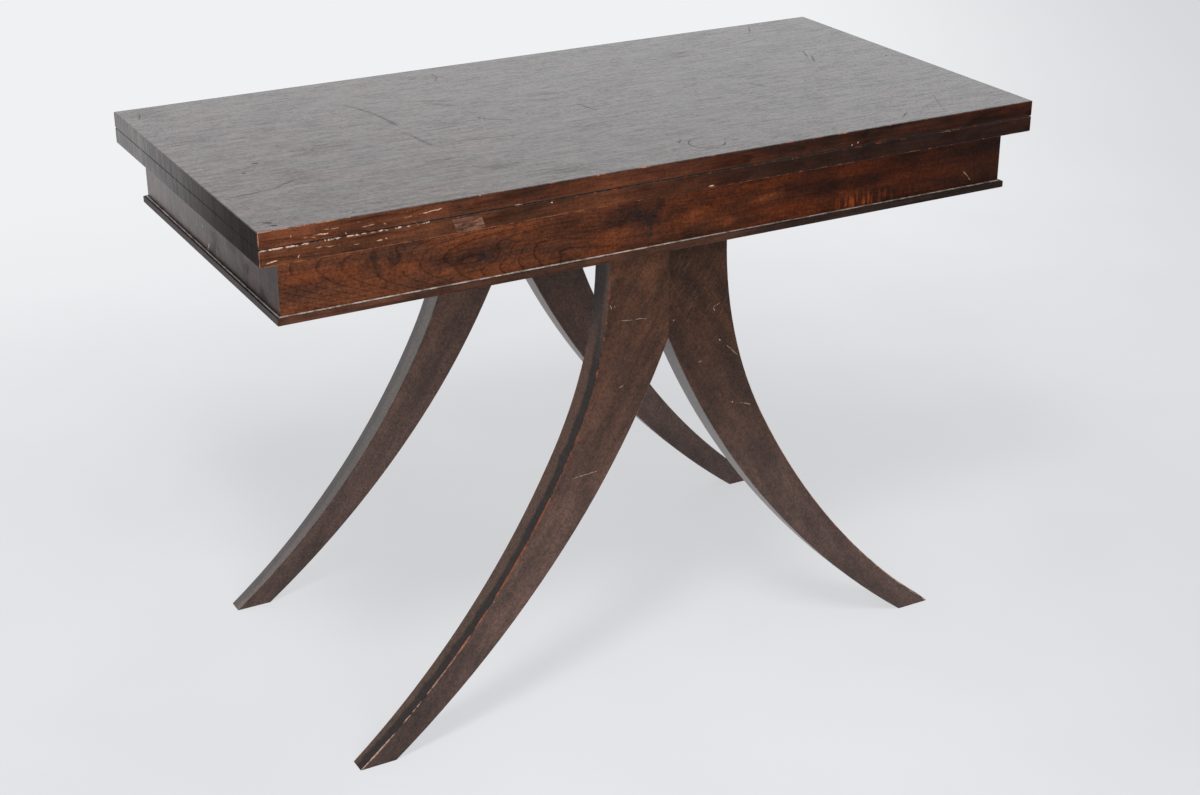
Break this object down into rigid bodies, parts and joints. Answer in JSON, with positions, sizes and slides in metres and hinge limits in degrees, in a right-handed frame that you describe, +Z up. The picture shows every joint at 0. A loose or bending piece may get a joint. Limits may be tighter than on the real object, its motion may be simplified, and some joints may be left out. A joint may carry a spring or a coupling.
{
  "type": "folding card table",
  "caption": "Fold-over card table: two face-to-face leaves on a shallow moulded frame and pairs of curved sabre legs; the top swivels a quarter turn and opens flat into a square.",
  "frame": {"origin": "on the floor under the middle of the closed top", "axes": "+X along the long side to the right, +Y from the front to the hinged back edge, +Z up"},
  "size_m": [1.066, 0.5362, 0.737],
  "materials": {
    "upper_leaf": "dark walnut stain, worn satin polish",
    "lower_leaf": "dark walnut stain, worn satin polish",
    "long_apron": "figured walnut veneer, satin polish",
    "end_apron": "walnut veneer, satin polish",
    "long_moulding": "dark stain, satin polish",
    "end_moulding": "dark stain, satin polish",
    "front_left_leg": "dark stain, satin polish, worn arrises",
    "front_right_leg": "dark stain, satin polish, worn arrises",
    "back_left_leg": "dark stain, satin polish, worn arrises",
    "back_right_leg": "dark stain, satin polish, worn arrises",
    "corner_block": "unfinished softwood",
    "rail": "unfinished hardwood",
    "dowel": "unfinished beech",
    "hinge_brass": "dull aged brass",
    "steel": "dull bright steel"
  },
  "bodies": {
    "frame": {"front_apron": "long_apron", "back_apron": "long_apron", "left_apron": "end_apron", "right_apron": "end_apron", "front_moulding": "long_moulding", "back_moulding": "long_moulding", "left_moulding": "end_moulding", "right_moulding": "end_moulding", "front_left_corner_block": "corner_block", "front_right_corner_block": "corner_block", "back_left_corner_block": "corner_block", "back_right_corner_block": "corner_block", "pivot_rail": "rail", "pivot_rail_screws": "steel", "cross_rail": "rail", "front_left_leg": "front_left_leg", "front_right_leg": "front_right_leg", "back_left_leg": "back_left_leg", "back_right_leg": "back_right_leg", "leg_screws": "steel", "leg_dowels": "dowel"},
    "lower_top": {"lower_leaf": "lower_leaf", "hinge_screws_lower": "hinge_brass", "pivot_plate": "steel", "pivot_plate_screws": "steel", "pivot_bolt": "steel", "pivot_washer": "steel", "pivot_nut": "steel", "stop_peg": "dowel", "left_hinge_lower_plate": "hinge_brass", "left_hinge_pin": "hinge_brass", "middle_hinge_lower_plate": "hinge_brass", "middle_hinge_pin": "hinge_brass", "right_hinge_lower_plate": "hinge_brass", "right_hinge_pin": "hinge_brass"},
    "upper_top": {"upper_leaf": "upper_leaf", "hinge_screws_upper": "hinge_brass", "left_hinge_upper_plate": "hinge_brass", "middle_hinge_upper_plate": "hinge_brass", "right_hinge_upper_plate": "hinge_brass"}
  },
  "joints": [
    {"name": "top_swivel", "type": "hinge", "parent": "frame", "child": "lower_top", "pos_m": [0.13325, 0.13325, 0.6959], "axis": [0, 0, 1], "range_deg": [0, 90]},
    {"name": "leaf_fold", "type": "hinge", "parent": "lower_top", "child": "upper_top", "pos_m": [0, 0.26675, 0.71645], "axis": [-1, 0, 0], "range_deg": [0, 180]}
  ]
}
